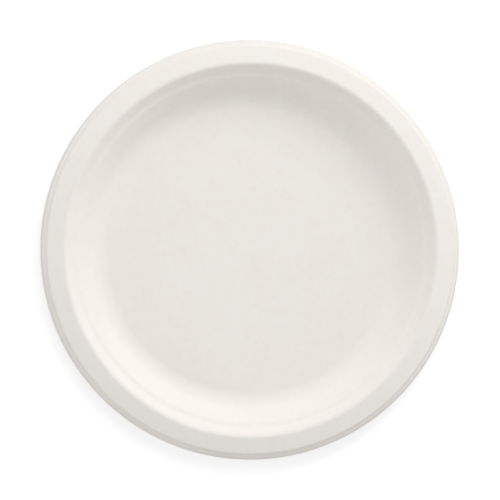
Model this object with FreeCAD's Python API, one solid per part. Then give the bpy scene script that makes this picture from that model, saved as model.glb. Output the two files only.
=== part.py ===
import FreeCAD, Part
import math
import os

# Round paper plate, pressed as one piece from moulded fibre.
# Millimetres and degrees. +Z is up, and the origin is the centre of the foot,
# on the surface that the plate stands on.
# The food side is drawn as straight runs with a rounded knee between each two,
# from the axis to the trimmed edge. The underside follows it, one wall below.

# Overall size
diameter = 254.0
height = 20.0  # from the foot to the top of the rim's crest
pulp_wall = 0.9
edge_wall = 0.65  # thinner where the press pinches the trimmed edge

# Floor: a low crown inside a narrow flat foot ring
crown_rise = 0.8
crown_top_radius = 30.0
foot_width = 3.0

# Wall: a wide cove, then a straight wall with one stacking ledge in it
cove_round = 13.5
wall_angle = 47.0  # above the floor
ledge_width = 2.4
ledge_angle = 31.0
ledge_depth = 5.15  # below the point where the wall and the rim would meet
ledge_top_round = 4.0
ledge_bottom_round = 5.0

# Rim: falls outwards from its crest, then turns down into a steep skirt
rim_width = 15.0  # from the crest's knee to the outside
rim_fall = 16.5
crest_round = 2.5
skirt_start = 4.15  # in from the outside
skirt_angle = 52.0
skirt_round = 1.8

# Edge: one narrow step in the skirt, then the turned-down edge, trimmed square
step_start = 2.5  # in from the outside
step_width = 1.0
step_angle = 30.0
edge_angle = 60.0

# A bend is one span of arc, apart from the cove's and the crest's, and the
# underside has no rounding where the pulp turns by less than the soft turn
cove_spans = 2
crest_spans = 3
soft_turn = 25.0


def slope(degrees):
    """Rise of a run for each millimetre outwards."""
    return math.tan(math.radians(degrees))


def crest_knee_height():
    """Height of the knee whose rounded crest just reaches the overall height."""
    up = math.radians(wall_angle)
    down = math.radians(rim_fall)
    above_centre = (math.sin(up) + math.sin(down)) / math.sin(up + down)
    return height + crest_round * (above_centre - 1.0)


def floor_knees(cove):
    """Knees of the crowned floor, as (radius, height, rounding, spans), up to the cove."""
    cove_tangent = cove_round * slope(wall_angle / 2.0)
    foot_inside = cove[0] - cove_tangent - foot_width
    return [
        (0.0, pulp_wall + crown_rise, 0.0, 1),
        (crown_top_radius, pulp_wall + crown_rise, 0.0, 1),
        (foot_inside, pulp_wall, 0.0, 1),
    ]


def wall_knees():
    """Knees of the wall, from the cove up to the rim's crest."""
    crest_radius = diameter / 2.0 - rim_width
    crest_height = crest_knee_height()
    ledge_out_radius = crest_radius - ledge_depth / slope(wall_angle)
    ledge_out_height = crest_height - ledge_depth
    ledge_in_radius = ledge_out_radius - ledge_width
    ledge_in_height = ledge_out_height - ledge_width * slope(ledge_angle)
    cove_radius = ledge_in_radius - (ledge_in_height - pulp_wall) / slope(wall_angle)
    return [
        (cove_radius, pulp_wall, cove_round, cove_spans),
        (ledge_in_radius, ledge_in_height, ledge_bottom_round, 1),
        (ledge_out_radius, ledge_out_height, ledge_top_round, 1),
        (crest_radius, crest_height, crest_round, crest_spans),
    ]


def rim_knees(crest):
    """Knees of the skirt, its step and the trimmed edge, outwards of the crest."""
    outside = diameter / 2.0
    skirt_radius = outside - skirt_start
    skirt_top = crest[1] - (skirt_radius - crest[0]) * slope(rim_fall)
    step_radius = outside - step_start
    step_top = skirt_top - (step_radius - skirt_radius) * slope(skirt_angle)
    edge_radius = step_radius + step_width
    edge_top = step_top - step_width * slope(step_angle)
    trim = edge_top - (outside - edge_radius) * slope(edge_angle)
    return [
        (skirt_radius, skirt_top, skirt_round, 1),
        (step_radius, step_top, 0.0, 1),
        (edge_radius, edge_top, 0.0, 1),
        (outside, trim, 0.0, 1),
    ]


def food_side():
    """All knees of the food side, and the wall's thickness along each run."""
    wall = wall_knees()
    rim = rim_knees(wall[-1])
    knees = floor_knees(wall[0]) + wall + rim
    pinched_runs = 2  # the step and the turned-down edge
    full_runs = len(knees) - 1 - pinched_runs
    return knees, [pulp_wall] * full_runs + [edge_wall] * pinched_runs


def meet(point_a, along_a, point_b, along_b):
    """Where two lines cross, each given by a point and a direction."""
    cross = along_a.x * along_b.z - along_a.z * along_b.x
    apart = point_b - point_a
    reach = (apart.x * along_b.z - apart.z * along_b.x) / cross
    return point_a + along_a * reach


def underside(knees, walls):
    """Knees one wall below the food side's, with roundings that keep the wall even."""
    points = [FreeCAD.Vector(radius, 0, z) for radius, z, _, _ in knees]
    along = [(b - a).normalize() for a, b in zip(points, points[1:])]
    below = [FreeCAD.Vector(run.z, 0, -run.x) for run in along]
    starts = [point + down * wall for point, down, wall in zip(points, below, walls)]
    lowered = [(0.0, starts[0].z, 0.0, 1)]
    for i in range(1, len(along)):
        corner = meet(starts[i - 1], along[i - 1], starts[i], along[i])
        _, _, rounding, spans = knees[i]
        turns_up = along[i - 1].x * along[i].z > along[i - 1].z * along[i].x
        kept = rounding + walls[i] if turns_up else max(rounding - walls[i], 0.0)
        soft = along[i - 1].getAngle(along[i]) < math.radians(soft_turn)
        lowered.append((corner.x, corner.z, 0.0 if soft else kept, spans))
    end = points[-1] + below[-1] * walls[-1]
    lowered.append((end.x, end.z, 0.0, 1))
    return lowered


def tangent_lengths(points, roundings):
    """Length that each knee's bend takes of its two runs, shared where a run is short."""
    count = len(points)
    lengths = []
    for i in range(count):
        before = points[i] - points[i - 1]
        after = points[(i + 1) % count] - points[i]
        turn = before.getAngle(after)
        lengths.append(roundings[i] * math.tan(turn / 2.0))
    shares = [1.0] * count
    for i in range(count):
        j = (i + 1) % count
        wanted = lengths[i] + lengths[j]
        run = points[i].distanceToPoint(points[j])
        if wanted > run:
            shares[i] = min(shares[i], run / wanted)
            shares[j] = min(shares[j], run / wanted)
    return [length * share for length, share in zip(lengths, shares)]


def bend(start, knee, end, spans):
    """Arc from start to end, touching the two runs that meet at the knee."""
    inwards = (start - knee).normalize()
    outwards = (end - knee).normalize()
    turn = math.pi - inwards.getAngle(outwards)
    radius = start.distanceToPoint(knee) / math.tan(turn / 2.0)
    to_centre = (inwards + outwards).normalize() * (radius / math.cos(turn / 2.0))
    centre = knee + to_centre
    span_turn = turn / spans
    pull = radius * 4.0 / 3.0 * math.tan(span_turn / 4.0)
    from_centre = (start - centre) / radius
    heading = -inwards
    edges = []
    for i in range(spans):
        turned = i * span_turn
        ahead = (i + 1) * span_turn
        at_start = from_centre * math.cos(turned) + heading * math.sin(turned)
        at_end = from_centre * math.cos(ahead) + heading * math.sin(ahead)
        leaving = heading * math.cos(turned) - from_centre * math.sin(turned)
        arriving = heading * math.cos(ahead) - from_centre * math.sin(ahead)
        a = centre + at_start * radius
        b = centre + at_end * radius
        curve = Part.BezierCurve()
        curve.setPoles([a, a + leaving * pull, b - arriving * pull, b])
        edges.append(curve.toShape())
    return edges


def rounded_outline(knees):
    """Closed wire through the knees, with a bend at each knee that has a rounding."""
    points = [FreeCAD.Vector(radius, 0, z) for radius, z, _, _ in knees]
    lengths = tangent_lengths(points, [knee[2] for knee in knees])
    starts = []
    ends = []
    for i, point in enumerate(points):
        starts.append(point + (points[i - 1] - point).normalize() * lengths[i])
        after = points[(i + 1) % len(points)]
        ends.append(point + (after - point).normalize() * lengths[i])
    edges = []
    for i, point in enumerate(points):
        if lengths[i] > 0.0:
            edges += bend(starts[i], point, ends[i], knees[i][3])
        following = starts[(i + 1) % len(points)]
        if ends[i].distanceToPoint(following) > 1e-6:
            edges.append(Part.LineSegment(ends[i], following).toShape())
    return Part.Wire(edges)


def plate():
    """The whole plate: its section turned once round the axis."""
    knees, walls = food_side()
    outline = knees + list(reversed(underside(knees, walls)))
    section = Part.Face(rounded_outline(outline))
    origin = FreeCAD.Vector(0, 0, 0)
    up = FreeCAD.Vector(0, 0, 1)
    return section.revolve(origin, up, 360.0)


os.makedirs("parts", exist_ok=True)
solid = plate()
solid.exportStep("parts/plate.step")
print("plate: valid", solid.isValid(), "volume mm3", round(solid.Volume, 1))
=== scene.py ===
import math
import bpy
from mathutils import Matrix, Vector


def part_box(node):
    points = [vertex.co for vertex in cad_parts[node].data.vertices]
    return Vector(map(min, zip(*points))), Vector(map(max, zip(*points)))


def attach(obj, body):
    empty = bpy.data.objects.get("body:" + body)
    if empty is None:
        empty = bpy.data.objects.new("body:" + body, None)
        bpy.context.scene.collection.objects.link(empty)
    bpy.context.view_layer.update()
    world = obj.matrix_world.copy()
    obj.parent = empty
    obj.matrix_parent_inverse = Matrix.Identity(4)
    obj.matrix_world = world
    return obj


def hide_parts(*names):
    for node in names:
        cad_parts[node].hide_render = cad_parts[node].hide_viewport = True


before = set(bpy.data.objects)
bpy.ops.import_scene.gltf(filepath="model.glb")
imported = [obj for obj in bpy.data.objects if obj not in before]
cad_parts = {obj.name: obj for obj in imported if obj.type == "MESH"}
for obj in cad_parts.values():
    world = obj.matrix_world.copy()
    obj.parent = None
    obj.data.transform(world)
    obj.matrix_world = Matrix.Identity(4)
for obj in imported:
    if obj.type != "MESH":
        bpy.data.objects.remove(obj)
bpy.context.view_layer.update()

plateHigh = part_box("plate")[1]
mm = 0.001
white = (1.0, 1.0, 1.0, 1.0)


def slope(degrees):
    return math.tan(math.radians(degrees))


def direction(azimuth, elevation):
    # unit vector, turned from +X and raised from the floor
    around = math.radians(azimuth)
    above = math.radians(elevation)
    level = math.cos(above)
    return Vector((level * math.cos(around), level * math.sin(around), math.sin(above)))


def deselectAll():
    if bpy.context.object and bpy.context.object.mode != "OBJECT":
        bpy.ops.object.mode_set(mode="OBJECT")
    bpy.ops.object.select_all(action="DESELECT")


def makeActive(piece):
    deselectAll()
    piece.select_set(True)
    bpy.context.view_layer.objects.active = piece


def selectNothing(piece, kind):
    # back in object mode, so that what is wanted can be selected in code
    makeActive(piece)
    bpy.ops.object.mode_set(mode="EDIT")
    bpy.ops.mesh.select_mode(type=kind)
    bpy.ops.mesh.select_all(action="DESELECT")
    bpy.ops.object.mode_set(mode="OBJECT")


def applyModifier(piece, modifier):
    makeActive(piece)
    bpy.ops.object.modifier_apply(modifier=modifier.name)


# Plate: the pressed section, and how finely it is drawn
plateForm = {
    "pulpWall": 0.9 * mm,
    "edgeWall": 0.65 * mm,  # where the press pinches the step and the edge
    "pinchLength": 0.6 * mm,  # over which the wall thins
    "crownRise": 0.8 * mm,
    "crownTopRadius": 30.0 * mm,
    "crownRound": 1500.0 * mm,  # the floor turns by under a degree here and at the foot
    "footWidth": 3.0 * mm,
    "footRound": 300.0 * mm,
    "coveRound": 13.5 * mm,
    "wallAngle": 47.0,
    "ledgeWidth": 2.4 * mm,
    "ledgeAngle": 31.0,
    "ledgeDepth": 5.15 * mm,  # below the point where the wall and the rim would meet
    "ledgeTopRound": 4.0 * mm,
    "ledgeBottomRound": 5.0 * mm,
    "rimWidth": 15.0 * mm,
    "rimFall": 16.5,
    "crestRound": 2.5 * mm,
    "skirtStart": 4.15 * mm,  # in from the outside
    "skirtAngle": 52.0,
    "skirtRound": 1.8 * mm,
    "stepStart": 2.5 * mm,  # in from the outside
    "stepWidth": 1.0 * mm,
    "stepAngle": 30.0,
    "stepRound": 0.5 * mm,
    "edgeAngle": 60.0,
    "edgeRound": 0.85 * mm,  # more than the wall there, or the underside would fold over
    "trimRound": 0.12 * mm,
    "trimSegments": 2,
    "trimCorner": 60.0,  # the trim's two corners turn by more than this
    "turns": 384,  # faces round the plate
    "runStep": 4.0 * mm,  # longest face along a straight run
    "bendStep": 6.0,  # most that the pulp turns from one ring of a bend to the next
    "bendSegments": 3,  # fewest in a bend
    "kneeReach": 0.01 * mm,  # a point this near a knee is the knee
    "mergeReach": 0.002 * mm,  # points closer than this become one
}


def plateKnees():
    # (radius, height, rounding) of each knee of the food side, from the axis to the trimmed edge
    form = plateForm
    outside = plateHigh.x
    floor = form["pulpWall"]
    up = math.radians(form["wallAngle"])
    down = math.radians(form["rimFall"])
    aboveCentre = (math.sin(up) + math.sin(down)) / math.sin(up + down)
    crestRadius = outside - form["rimWidth"]
    crestHeight = plateHigh.z + form["crestRound"] * (aboveCentre - 1.0)
    ledgeOutRadius = crestRadius - form["ledgeDepth"] / slope(form["wallAngle"])
    ledgeOutHeight = crestHeight - form["ledgeDepth"]
    ledgeInRadius = ledgeOutRadius - form["ledgeWidth"]
    ledgeInHeight = ledgeOutHeight - form["ledgeWidth"] * slope(form["ledgeAngle"])
    coveRadius = ledgeInRadius - (ledgeInHeight - floor) / slope(form["wallAngle"])
    coveTangent = form["coveRound"] * slope(form["wallAngle"] / 2.0)
    footInside = coveRadius - coveTangent - form["footWidth"]
    skirtRadius = outside - form["skirtStart"]
    skirtHeight = crestHeight - (skirtRadius - crestRadius) * slope(form["rimFall"])
    stepRadius = outside - form["stepStart"]
    stepHeight = skirtHeight - (stepRadius - skirtRadius) * slope(form["skirtAngle"])
    edgeRadius = stepRadius + form["stepWidth"]
    edgeHeight = stepHeight - form["stepWidth"] * slope(form["stepAngle"])
    trimHeight = edgeHeight - (outside - edgeRadius) * slope(form["edgeAngle"])
    return {
        "axis": (0.0, floor + form["crownRise"], 0.0),
        "crown": (form["crownTopRadius"], floor + form["crownRise"], form["crownRound"]),
        "foot": (footInside, floor, form["footRound"]),
        "cove": (coveRadius, floor, form["coveRound"]),
        "ledgeIn": (ledgeInRadius, ledgeInHeight, form["ledgeBottomRound"]),
        "ledgeOut": (ledgeOutRadius, ledgeOutHeight, form["ledgeTopRound"]),
        "crest": (crestRadius, crestHeight, form["crestRound"]),
        "skirt": (skirtRadius, skirtHeight, form["skirtRound"]),
        "step": (stepRadius, stepHeight, form["stepRound"]),
        "edge": (edgeRadius, edgeHeight, form["edgeRound"]),
        "trim": (outside, trimHeight, 0.0),
    }


def drawHalfSection(points):
    # a small plane, merged to one vertex on the axis and extruded from knee to knee
    bpy.ops.mesh.primitive_plane_add(size=mm, location=points[0])
    piece = bpy.context.object
    piece.name = "fibre_plate"
    bpy.ops.object.transform_apply(location=True, rotation=False, scale=False)
    bpy.ops.object.mode_set(mode="EDIT")
    bpy.ops.mesh.select_all(action="SELECT")
    bpy.ops.mesh.merge(type="CENTER")
    for before, after in zip(points, points[1:]):
        bpy.ops.mesh.extrude_region_move(TRANSFORM_OT_translate={"value": after - before})
    bpy.ops.object.mode_set(mode="OBJECT")
    return piece


def roundKnees(piece, points, roundings):
    for before, knee, after, rounding in zip(points, points[1:], points[2:], roundings[1:]):
        turn = (knee - before).angle(after - knee)
        rings = math.ceil(math.degrees(turn) / plateForm["bendStep"])
        selectNothing(piece, "VERT")
        for vertex in piece.data.vertices:
            vertex.select = (vertex.co - knee).length < plateForm["kneeReach"]
        bpy.ops.object.mode_set(mode="EDIT")
        bpy.ops.mesh.bevel(offset=rounding * math.tan(turn / 2.0), offset_type="OFFSET",
                           segments=max(plateForm["bendSegments"], rings), affect="VERTICES")
        bpy.ops.object.mode_set(mode="OBJECT")


def runCuts(piece):
    # cuts that each edge needs, so that no face along it is longer than the run step
    points = piece.data.vertices
    cuts = []
    for edge in piece.data.edges:
        start, end = edge.vertices
        length = (points[start].co - points[end].co).length
        cuts.append(math.ceil(length / plateForm["runStep"]) - 1)
    return cuts


def divideRuns(piece):
    # the longest runs are cut first, then those that need fewer cuts
    cuts = runCuts(piece)
    while max(cuts) > 0:
        selectNothing(piece, "EDGE")
        for edge, wanted in zip(piece.data.edges, cuts):
            edge.select = wanted == max(cuts)
        bpy.ops.object.mode_set(mode="EDIT")
        bpy.ops.mesh.subdivide(number_cuts=max(cuts))
        bpy.ops.object.mode_set(mode="OBJECT")
        cuts = runCuts(piece)


def spinSection(piece):
    selectNothing(piece, "VERT")
    bpy.ops.object.mode_set(mode="EDIT")
    bpy.ops.mesh.select_all(action="SELECT")
    bpy.ops.mesh.spin(steps=plateForm["turns"], angle=math.tau, center=(0, 0, 0), axis=(0, 0, 1))
    bpy.ops.mesh.select_all(action="SELECT")
    bpy.ops.mesh.remove_doubles(threshold=plateForm["mergeReach"])
    bpy.ops.mesh.normals_make_consistent(inside=False)
    bpy.ops.object.mode_set(mode="OBJECT")
    middleFace = min(piece.data.polygons, key=lambda face: face.center.length)
    if middleFace.normal.z < 0.0:
        bpy.ops.object.mode_set(mode="EDIT")
        bpy.ops.mesh.flip_normals()
        bpy.ops.object.mode_set(mode="OBJECT")


# Pulp: the slight waviness that drying leaves in the pressed sheet
plateWaves = {
    "floorHeight": 0.16 * mm,  # the floor only lifts, so the foot stays flat
    "floorLength": 55 * mm,
    "floorFade": 0.45,  # share of the way out to the foot where the lift starts to fade
    "rimHeight": 0.14 * mm,  # wall and rim only sink, so the crest gets no higher
    "rimLength": 38 * mm,
}


def fade(value, start, end):
    # 0 up to the start and 1 from the end, with a smooth step between
    share =min(max((value - start) / (end - start), 0.0), 1.0)
    return share * share * (3.0 - 2.0 * share)


def weightByRadius(piece, name, weightAt):
    group = piece.vertex_groups.new(name=name)
    for vertex in piece.data.vertices:
        group.add([vertex.index], weightAt(vertex.co.xy.length), "REPLACE")


def wave(piece, name, height, length, weightAt):
    weightByRadius(piece, name, weightAt)
    clouds = bpy.data.textures.new(name, "CLOUDS")
    clouds.noise_scale = length
    clouds.noise_depth = 1
    modifier = piece.modifiers.new(name, "DISPLACE")
    modifier.texture = clouds
    modifier.texture_coords = "LOCAL"
    modifier.direction = "Z"
    modifier.mid_level = 0.0
    modifier.strength = height
    modifier.vertex_group = name
    applyModifier(piece, modifier)


def pressPulp(piece, knees):
    footInside = knees["foot"][0]
    footOutside = footInside + plateForm["footWidth"]
    fadeStart = plateWaves["floorFade"] * footInside
    ledge = knees["ledgeIn"][0]
    wave(piece, "floorWaves", plateWaves["floorHeight"], plateWaves["floorLength"],
         lambda radius: 1.0 - fade(radius, fadeStart, footInside))
    wave(piece, "rimWaves", -plateWaves["rimHeight"], plateWaves["rimLength"],
         lambda radius: fade(radius, footOutside, ledge))


def giveWall(piece, knees):
    thinned = 1.0 - plateForm["edgeWall"] / plateForm["pulpWall"]
    pinchStart = knees["step"][0] - plateForm["pinchLength"] / 2.0
    pinchEnd = knees["step"][0] + plateForm["pinchLength"] / 2.0
    weightByRadius(piece, "wall", lambda radius: 1.0 - thinned * fade(radius, pinchStart, pinchEnd))
    solidify = piece.modifiers.new("wall", "SOLIDIFY")
    solidify.thickness = plateForm["pulpWall"]
    solidify.offset = -1.0
    solidify.use_even_offset = True
    solidify.vertex_group = "wall"
    solidify.material_offset = 1  # the underside's finish
    solidify.material_offset_rim = 2  # the cut edge's finish
    applyModifier(piece, solidify)


def softenTrim(piece):
    soften = piece.modifiers.new("trim", "BEVEL")
    soften.width = plateForm["trimRound"]
    soften.segments = plateForm["trimSegments"]
    soften.limit_method = "ANGLE"
    soften.angle_limit = math.radians(plateForm["trimCorner"])
    applyModifier(piece, soften)


def makePlate(knees, materials):
    points = [Vector((radius, 0.0, height)) for radius, height, _ in knees.values()]
    roundings = [knee[2] for knee in knees.values()]
    piece = drawHalfSection(points)
    roundKnees(piece, points, roundings)
    divideRuns(piece)
    spinSection(piece)
    pressPulp(piece, knees)
    for material in materials:
        piece.data.materials.append(material)
    giveWall(piece, knees)
    softenTrim(piece)
    makeActive(piece)
    bpy.ops.object.shade_smooth()
    print("plate:", len(piece.data.polygons), "faces")
    return piece


# Pulp finish: one recipe, with a look for each side
foodSideLook = {
    "colour": (0.856, 0.821, 0.775),
    "shade": (0.824, 0.784, 0.728),  # the darker of its cloudy tones
    "fibre": (0.907, 0.878, 0.835),  # single fibres on the surface
    "fibreShare": 0.5,
    "fleck": (0.56, 0.47, 0.36),  # bits of stalk
    "fleckShare": 0.22,
    "roughness": 0.78,
    "specular": 0.25,
    "refractiveIndex": 1.45,
    "pulpBump": 0.035 * mm,
    "fibreBump": 0.025 * mm,
    "screenBump": 0.0,
}
undersideLook = dict(foodSideLook, roughness=0.86, pulpBump=0.06 * mm, fibreBump=0.035 * mm,
                     screenBump=0.03 * mm)
cutEdgeLook = dict(foodSideLook, shade=(0.80, 0.76, 0.705), roughness=0.92, pulpBump=0.03 * mm,
                   fibreBump=0.02 * mm)
pulpPattern = {
    "mottleSize": 30 * mm,
    "mottleShare": 0.35,  # of the cloudiness, and the rest is formation
    "formationSize": 4.5 * mm,
    "shadeFrom": 0.38,  # cloudiness at which the shade starts
    "shadeContrast": 2.2,
    "grainSize": 0.7 * mm,
    "grainShare": 0.5,
    "glossChange": 0.25,
    "fibreLength": 4.2 * mm,
    "fibreWidth": 0.30 * mm,
    "fibreBend": 0.6,
    "fibreSharpness": 20.0,
    "fibreAngles": (12.0, 71.0, 134.0),
    "fleckSpacing": 3.2 * mm,
    "fleckWidth": 0.26 * mm,
    "fleckStretch": (4.0, 1.0, 2.0),  # along, across and up
    "fleckAngles": (35.0, 118.0),
    "screenPitch": 0.62 * mm,
}
noiseMiddle = 0.5  # what a noise pattern varies about


def addNode(tree, kind, **settings):
    node = tree.nodes.new(kind)
    for key, value in settings.items():
        setattr(node, key, value)
    return node


def mathNode(tree, operation, a, b=None, clamp=False):
    node = addNode(tree, "ShaderNodeMath", operation=operation, use_clamp=clamp)
    for socket, value in zip(node.inputs, (a, b)):
        if isinstance(value, (int, float)):
            socket.default_value = value
        elif value is not None:
            tree.links.new(value, socket)
    return node.outputs["Value"]


def noiseNode(tree, place, size, detail, roughness=0.55, distortion=0.0):
    node = addNode(tree, "ShaderNodeTexNoise")
    tree.links.new(place, node.inputs["Vector"])
    node.inputs["Scale"].default_value = 1.0 / size
    node.inputs["Detail"].default_value = detail
    node.inputs["Roughness"].default_value = roughness
    node.inputs["Distortion"].default_value = distortion
    return node.outputs["Fac"]


def turnedPlace(tree, place, angle, stretch):
    # turned first and stretched after, so that streaks lie at the angle
    turn = addNode(tree, "ShaderNodeMapping", vector_type="TEXTURE")
    turn.inputs["Rotation"].default_value = (0.0, 0.0, math.radians(angle))
    turn.inputs["Scale"].default_value = stretch
    tree.links.new(place, turn.inputs["Vector"])
    return turn.outputs["Vector"]


def fibreLayer(tree, place, angle):
    # long thin streaks, highest along their middle
    stretch = (pulpPattern["fibreLength"], pulpPattern["fibreWidth"], pulpPattern["fibreLength"])
    along = turnedPlace(tree, place, angle, stretch)
    streaks = noiseNode(tree, along, 1.0, detail=2.0, distortion=pulpPattern["fibreBend"])
    fromMiddle = mathNode(tree, "ABSOLUTE", mathNode(tree, "SUBTRACT", streaks, noiseMiddle))
    fall = mathNode(tree, "MULTIPLY", fromMiddle, pulpPattern["fibreSharpness"], clamp=True)
    return mathNode(tree, "SUBTRACT", 1.0, fall)


def fleckLayer(tree, place, angle):
    # short bits of stalk, longer than they are wide
    along = turnedPlace(tree, place, angle, pulpPattern["fleckStretch"])
    cells = addNode(tree, "ShaderNodeTexVoronoi")
    cells.inputs["Scale"].default_value = 1.0 / pulpPattern["fleckSpacing"]
    tree.links.new(along, cells.inputs["Vector"])
    reach = 0.5 * pulpPattern["fleckWidth"] / pulpPattern["fleckSpacing"]
    return mathNode(tree, "LESS_THAN", cells.outputs["Distance"], reach)


def highestLayer(tree, place, makeLayer, angles):
    highest = makeLayer(tree, place, angles[0])
    for angle in angles[1:]:
        highest = mathNode(tree, "MAXIMUM", highest, makeLayer(tree, place, angle))
    return highest


def screenImprint(tree, place):
    # the forming screen's weave: dimples at an even pitch both ways
    split = addNode(tree, "ShaderNodeSeparateXYZ")
    tree.links.new(place, split.inputs["Vector"])
    waves = []
    for axis in ("X", "Y"):
        phase = mathNode(tree, "MULTIPLY", split.outputs[axis], math.tau / pulpPattern["screenPitch"])
        waves.append(mathNode(tree, "SINE", phase))
    return mathNode(tree, "MULTIPLY", waves[0], waves[1])


def bumpNode(tree, height, distance, normal=None):
    node = addNode(tree, "ShaderNodeBump")
    node.inputs["Strength"].default_value = 1.0
    node.inputs["Distance"].default_value = distance
    tree.links.new(height, node.inputs["Height"])
    if normal is not None:
        tree.links.new(normal, node.inputs["Normal"])
    return node.outputs["Normal"]


def mixColour(tree, share, first, second):
    node = addNode(tree, "ShaderNodeMix", data_type="RGBA")
    factorSocket, firstSocket, secondSocket = node.inputs[0], node.inputs[6], node.inputs[7]
    tree.links.new(share, factorSocket)
    for socket, value in ((firstSocket, first), (secondSocket, second)):
        if isinstance(value, tuple):
            socket.default_value = (*value, 1.0)
        else:
            tree.links.new(value, socket)
    return node.outputs[2]  # the mixed colour


def pulpColour(tree, look, mottle, formation, fibres, flecks):
    # cloudy pulp, paler single fibres, then a few bits of stalk
    mottled = mathNode(tree, "MULTIPLY", mottle, pulpPattern["mottleShare"])
    formed = mathNode(tree, "MULTIPLY", formation, 1.0 - pulpPattern["mottleShare"])
    cloudy = mathNode(tree, "ADD", mottled, formed)
    pastStart = mathNode(tree, "SUBTRACT", cloudy, pulpPattern["shadeFrom"])
    shaded = mathNode(tree, "MULTIPLY", pastStart, pulpPattern["shadeContrast"], clamp=True)
    pulp = mixColour(tree, shaded, look["colour"], look["shade"])
    pale = mathNode(tree, "MULTIPLY", fibres, look["fibreShare"])
    felted = mixColour(tree, pale, pulp, look["fibre"])
    stalks = mathNode(tree, "MULTIPLY", flecks, look["fleckShare"])
    return mixColour(tree, stalks, felted, look["fleck"])


def pulpMaterial(name, look):
    material = bpy.data.materials.new(name)
    material.use_nodes = True
    tree = material.node_tree
    surface = tree.nodes["Principled BSDF"]
    place = addNode(tree, "ShaderNodeTexCoord").outputs["Object"]
    mottle = noiseNode(tree, place, pulpPattern["mottleSize"], detail=1.0)
    formation = noiseNode(tree, place, pulpPattern["formationSize"], detail=4.0, roughness=0.6)
    grain = noiseNode(tree, place, pulpPattern["grainSize"], detail=2.0)
    fibres = highestLayer(tree, place, fibreLayer, pulpPattern["fibreAngles"])
    flecks = highestLayer(tree, place, fleckLayer, pulpPattern["fleckAngles"])
    colour = pulpColour(tree, look, mottle, formation, fibres, flecks)
    tree.links.new(colour, surface.inputs["Base Color"])

    # gloss: duller where the pulp is raised
    uneven = mathNode(tree, "SUBTRACT", formation, noiseMiddle)
    varied = mathNode(tree, "MULTIPLY", uneven, pulpPattern["glossChange"])
    tree.links.new(mathNode(tree, "ADD", varied, look["roughness"]), surface.inputs["Roughness"])
    surface.inputs["Specular IOR Level"].default_value = look["specular"]
    surface.inputs["IOR"].default_value = look["refractiveIndex"]

    # relief: the pulp, its fibres, then the weave that the underside took
    grained = mathNode(tree, "MULTIPLY", grain, pulpPattern["grainShare"])
    normal = bumpNode(tree, mathNode(tree, "ADD", formation, grained), look["pulpBump"])
    normal = bumpNode(tree, fibres, look["fibreBump"], normal)
    if look["screenBump"] > 0.0:
        normal = bumpNode(tree, screenImprint(tree, place), look["screenBump"], normal)
    tree.links.new(normal, surface.inputs["Normal"])
    return material


# Floor: pale, white to the camera where no shadow falls
floorLook = {
    "size": 8.0,
    "colour": (0.50, 0.50, 0.50, 1.0),
    "lift": 0.66,  # added for the camera, so that the lit floor reaches white
    "liftFar": 1.0,  # the same, out where the lamps no longer reach
    "liftRisesFrom": 0.35,  # metres from the plate's centre
    "liftRisesTo": 1.6,
}


def seenDirectly(tree):
    path = addNode(tree, "ShaderNodeLightPath")
    seen = mathNode(tree, "MAXIMUM", path.outputs["Is Camera Ray"], path.outputs["Is Glossy Ray"])
    return mathNode(tree, "MAXIMUM", seen, path.outputs["Is Transmission Ray"])


def floorLift(tree):
    place = addNode(tree, "ShaderNodeTexCoord").outputs["Object"]
    away = addNode(tree, "ShaderNodeVectorMath", operation="LENGTH")
    tree.links.new(place, away.inputs[0])
    rise = addNode(tree, "ShaderNodeMapRange", interpolation_type="SMOOTHSTEP")
    tree.links.new(away.outputs["Value"], rise.inputs["Value"])
    rise.inputs["From Min"].default_value = floorLook["liftRisesFrom"]
    rise.inputs["From Max"].default_value = floorLook["liftRisesTo"]
    rise.inputs["To Min"].default_value = floorLook["lift"]
    rise.inputs["To Max"].default_value = floorLook["liftFar"]
    return rise.outputs["Result"]


def makeFloor():
    deselectAll()
    bpy.ops.mesh.primitive_plane_add(size=floorLook["size"], location=(0, 0, 0))
    floor = bpy.context.object
    floor.name = "studio_floor"
    material = bpy.data.materials.new("studioFloor")
    material.use_nodes = True
    tree = material.node_tree
    surface = tree.nodes["Principled BSDF"]
    surface.inputs["Base Color"].default_value = floorLook["colour"]
    surface.inputs["Roughness"].default_value = 1.0
    surface.inputs["Specular IOR Level"].default_value = 0.0
    surface.inputs["Emission Color"].default_value = white
    lift = mathNode(tree, "MULTIPLY", seenDirectly(tree), floorLift(tree))
    tree.links.new(lift, surface.inputs["Emission Strength"])
    floor.data.materials.append(material)


# Light: round soft lamps well away from the plate, and an even surround
studio = {
    "distance": 3.0,
    "lampSize": 1.5,
    "lamps": [  # azimuth from +X, elevation, watts
        (60, 30, 34.6),
        (90, 50, 20.7),
        (180, 12, 13.2),
        (240, 30, 8.3),
        (300, 12, 8.2),
        (0, 12, 8.9),
    ],
    "surround": 0.508,
}


def makeLamp(azimuth, elevation, watts):
    towards = direction(azimuth, elevation)
    data = bpy.data.lights.new(f"lamp{azimuth}", "AREA")
    data.shape = "DISK"
    data.size = studio["lampSize"]
    data.energy = watts
    lamp = bpy.data.objects.new(data.name, data)
    lamp.location = towards * studio["distance"]
    lamp.rotation_mode = "QUATERNION"
    lamp.rotation_quaternion = towards.to_track_quat("Z", "Y")
    lamp.visible_camera = False
    bpy.context.scene.collection.objects.link(lamp)


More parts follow.
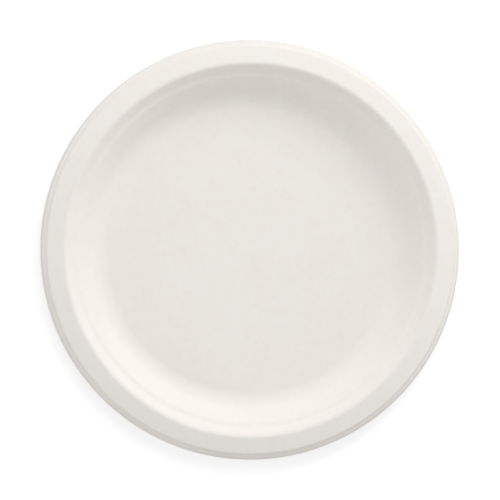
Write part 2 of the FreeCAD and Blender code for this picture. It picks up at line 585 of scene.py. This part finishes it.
def makeSurround():
    # plain white to the camera, dimmer as light
    world = bpy.data.worlds.new("studioWorld")
    world.use_nodes = True
    tree = world.node_tree
    background = tree.nodes["Background"]
    background.inputs["Color"].default_value = white
    extra = mathNode(tree, "MULTIPLY", seenDirectly(tree), 1.0 - studio["surround"])
    strength = mathNode(tree, "ADD", extra, studio["surround"])
    tree.links.new(strength, background.inputs["Strength"])
    bpy.context.scene.world = world


# Camera: above the plate, leaning a little to its left as the photo's does
shot = {
    "picture": 500,  # pixels
    "plateRadius": 210.7,  # pixels
    "plateCentre": (251.85, 249.65),  # pixels from the left and from the top
    "lens": 135.0,  # millimetres, as the sensor
    "sensor": 36.0,
    "lean": 4.2,
    "leanTowards": 184.0,
}


def makeCamera(planeHeight):
    data = bpy.data.cameras.new("camera")
    data.lens = shot["lens"]
    data.sensor_width = shot["sensor"]
    camera = bpy.data.objects.new("camera", data)
    pixel = plateHigh.x / shot["plateRadius"]
    middle = shot["picture"] / 2.0
    fromLeft, fromTop = shot["plateCentre"]
    aim = Vector(((middle - fromLeft) * pixel, (fromTop - middle) * pixel, planeHeight))
    back = direction(shot["leanTowards"], 90.0 - shot["lean"])
    distance = pixel * shot["picture"] * shot["lens"] / shot["sensor"]
    camera.location = aim + back * distance
    right = Vector((0.0, 1.0, 0.0)).cross(back).normalized()
    turned = Matrix((right, back.cross(right), back)).transposed()
    camera.rotation_mode = "QUATERNION"
    camera.rotation_quaternion = turned.to_quaternion()
    bpy.context.scene.collection.objects.link(camera)
    bpy.context.scene.camera = camera


bpy.context.scene.view_settings.view_transform = "Standard"
plateSection = plateKnees()
rimMiddle = (plateSection["trim"][1] + plateHigh.z) / 2.0
makeFloor()
for azimuth, elevation, watts in studio["lamps"]:
    makeLamp(azimuth, elevation, watts)
makeSurround()
makeCamera(rimMiddle)
print("studio ready")

foodSide = pulpMaterial("pulpFoodSide", foodSideLook)
underside = pulpMaterial("pulpUnderside", undersideLook)
cutEdge = pulpMaterial("pulpCutEdge", cutEdgeLook)
plate = makePlate(plateSection, [foodSide, underside, cutEdge])
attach(plate, "root")
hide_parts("plate")
deselectAll()
print("plate ready")
